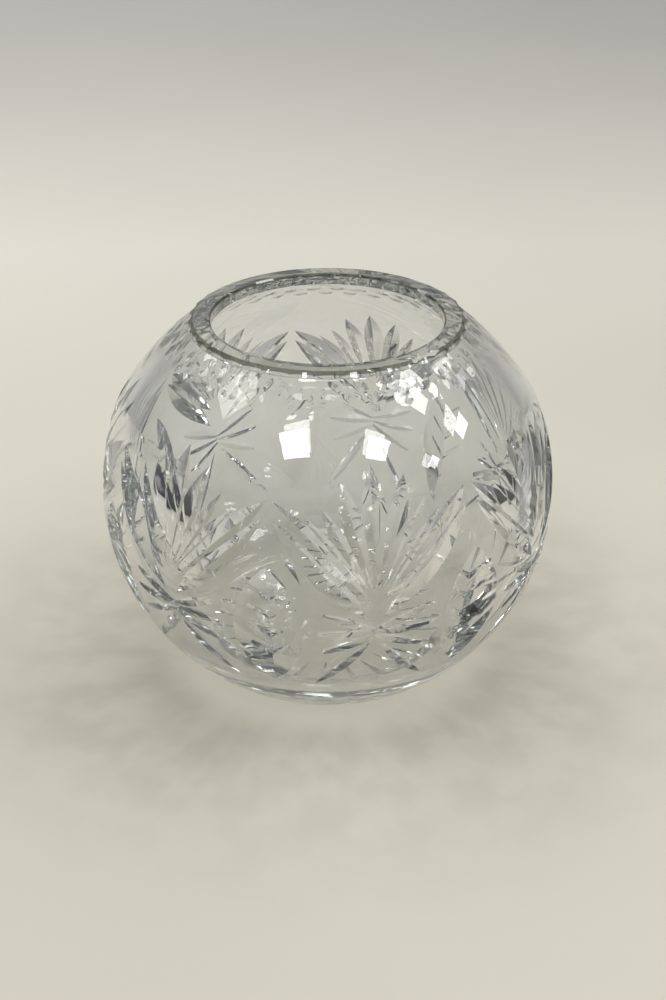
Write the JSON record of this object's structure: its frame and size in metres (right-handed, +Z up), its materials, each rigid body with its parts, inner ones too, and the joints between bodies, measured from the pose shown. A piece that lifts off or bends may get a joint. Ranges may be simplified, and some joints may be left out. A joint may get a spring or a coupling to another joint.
{
  "type": "rose bowl vase",
  "caption": "Globe-shaped rose bowl of thick cut crystal with a flat ground rim, a faceted neck and a cut leaf-and-star frieze.",
  "frame": {"origin": "centre of the flat base, on the surface the bowl stands on", "axes": "+Z up along the bowl's axis, -Y towards the viewer in the picture"},
  "size_m": [0.1998, 0.2, 0.163],
  "materials": {
    "crystal": "polished"
  },
  "bodies": {
    "root": {"bowl": "crystal"}
  },
  "joints": []
}
